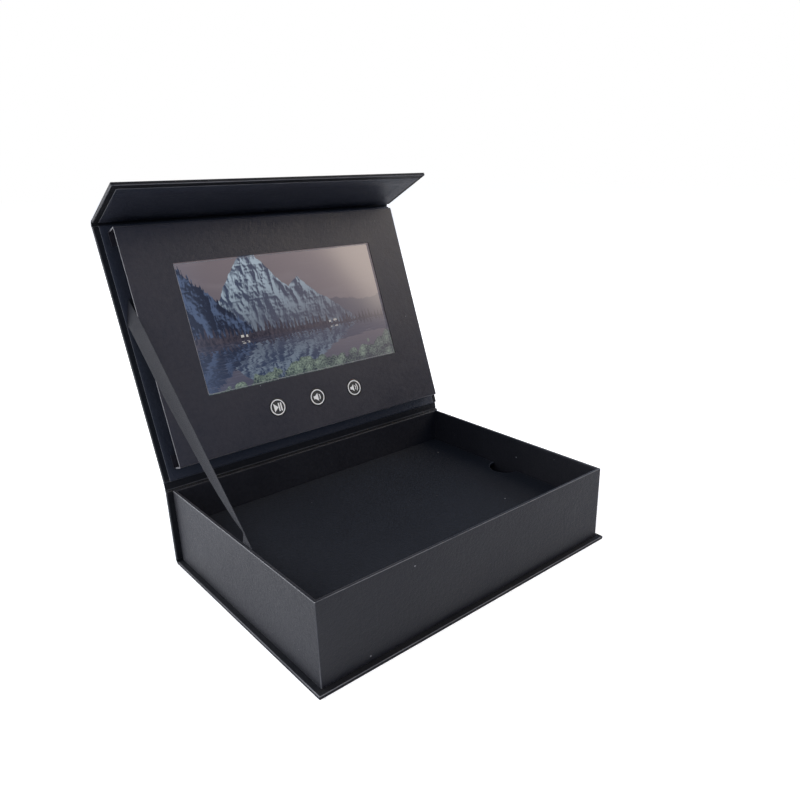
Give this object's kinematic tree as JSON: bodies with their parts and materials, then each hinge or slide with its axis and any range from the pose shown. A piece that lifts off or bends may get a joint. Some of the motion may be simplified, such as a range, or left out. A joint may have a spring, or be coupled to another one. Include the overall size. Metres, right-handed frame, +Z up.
{
  "type": "lcd video brochure box",
  "caption": "Hinged-lid presentation box with a video screen, play and volume buttons in the lid, a ribbon stay, a lift-out platform and a magnetic front flap.",
  "frame": {"origin": "centre of the base board's underside, midway across the case and midway front to back of the tray", "axes": "+Z up, -Y towards the front with the flap's side, +X to the viewer's right"},
  "size_m": [0.23, 0.2255, 0.2361],
  "materials": {
    "greyboard": "matte",
    "black_paper": "satin",
    "sleeve_card": "satin",
    "ribbon": "satin",
    "foam": "matte",
    "steel": "satin",
    "magnet": "polished",
    "screen_glass": "gloss",
    "white_plastic": "matte",
    "black_plastic": "satin",
    "flex_film": "gloss",
    "circuit_board": "satin",
    "wire": "satin",
    "foil": "satin",
    "speaker_metal": "satin"
  },
  "bodies": {
    "tray": {"base_board": "greyboard", "base_wrap": "black_paper", "base_liner": "black_paper", "spine_board": "greyboard", "spine_wrap": "black_paper", "spine_liner": "black_paper", "spine_tape": "foam", "tray_bottom_board": "greyboard", "tray_front_board": "greyboard", "tray_back_board": "greyboard", "tray_left_board": "greyboard", "tray_right_board": "greyboard", "tray_wrap": "black_paper", "tray_floor_paper": "black_paper", "keeper_plates": "steel", "trigger_magnet": "magnet", "hinge_crease": "black_paper", "ribbon": "ribbon"},
    "platform": {"platform_board": "greyboard", "platform_wrap": "black_paper", "platform_supports": "greyboard"},
    "lid": {"lid_board": "greyboard", "lid_wrap": "black_paper", "lid_liner": "black_paper", "panel_sleeve": "sleeve_card", "window_gasket": "foam", "lcd_bezel": "steel", "lcd_glass": "screen_glass", "lcd_backlight": "white_plastic", "lcd_flex": "flex_film", "lcd_pads": "foam", "main_board": "circuit_board", "board_tape": "foam", "board_components": "black_plastic", "charging_socket": "steel", "socket_tongue": "black_plastic", "button_board": "circuit_board", "button_foam": "foam", "tact_switches": "black_plastic", "button_leads": "wire", "battery": "foil", "battery_leads": "wire", "speaker": "speaker_metal", "speaker_leads": "wire", "reed_switch": "black_plastic", "reed_leads": "wire"},
    "play_button": {"button_play": "sleeve_card"},
    "volume_down_button": {"button_volume_down": "sleeve_card"},
    "volume_up_button": {"button_volume_up": "sleeve_card"},
    "flap": {"flap_board": "greyboard", "flap_wrap": "black_paper", "flap_liner": "black_paper", "flap_magnets": "magnet", "flap_crease": "black_paper"}
  },
  "joints": [
    {"name": "lid_hinge", "type": "hinge", "parent": "tray", "child": "lid", "pos_m": [0, 0.0838, 0.0549], "axis": [1, 0, 0], "range_deg": [0, 110], "deforming": ["hinge_crease", "ribbon"]},
    {"name": "flap_hinge", "type": "hinge", "parent": "lid", "child": "flap", "pos_m": [0, 0.14109, 0.2123], "axis": [1, 0, 0], "range_deg": [-83.5, 6.5], "deforming": ["flap_crease"]},
    {"name": "play_press", "type": "slide", "parent": "lid", "child": "play_button", "axis": [0, 0.9397, -0.342], "range_m": [0, 0.0004], "stiffness_N_per_m": 3000},
    {"name": "volume_down_press", "type": "slide", "parent": "lid", "child": "volume_down_button", "axis": [0, 0.9397, -0.342], "range_m": [0, 0.0004], "stiffness_N_per_m": 3000},
    {"name": "volume_up_press", "type": "slide", "parent": "lid", "child": "volume_up_button", "axis": [0, 0.9397, -0.342], "range_m": [0, 0.0004], "stiffness_N_per_m": 3000},
    {"name": "platform_lift", "type": "slide", "parent": "tray", "child": "platform", "axis": [0, 0, -1], "range_m": [-0.03, 0]}
  ]
}
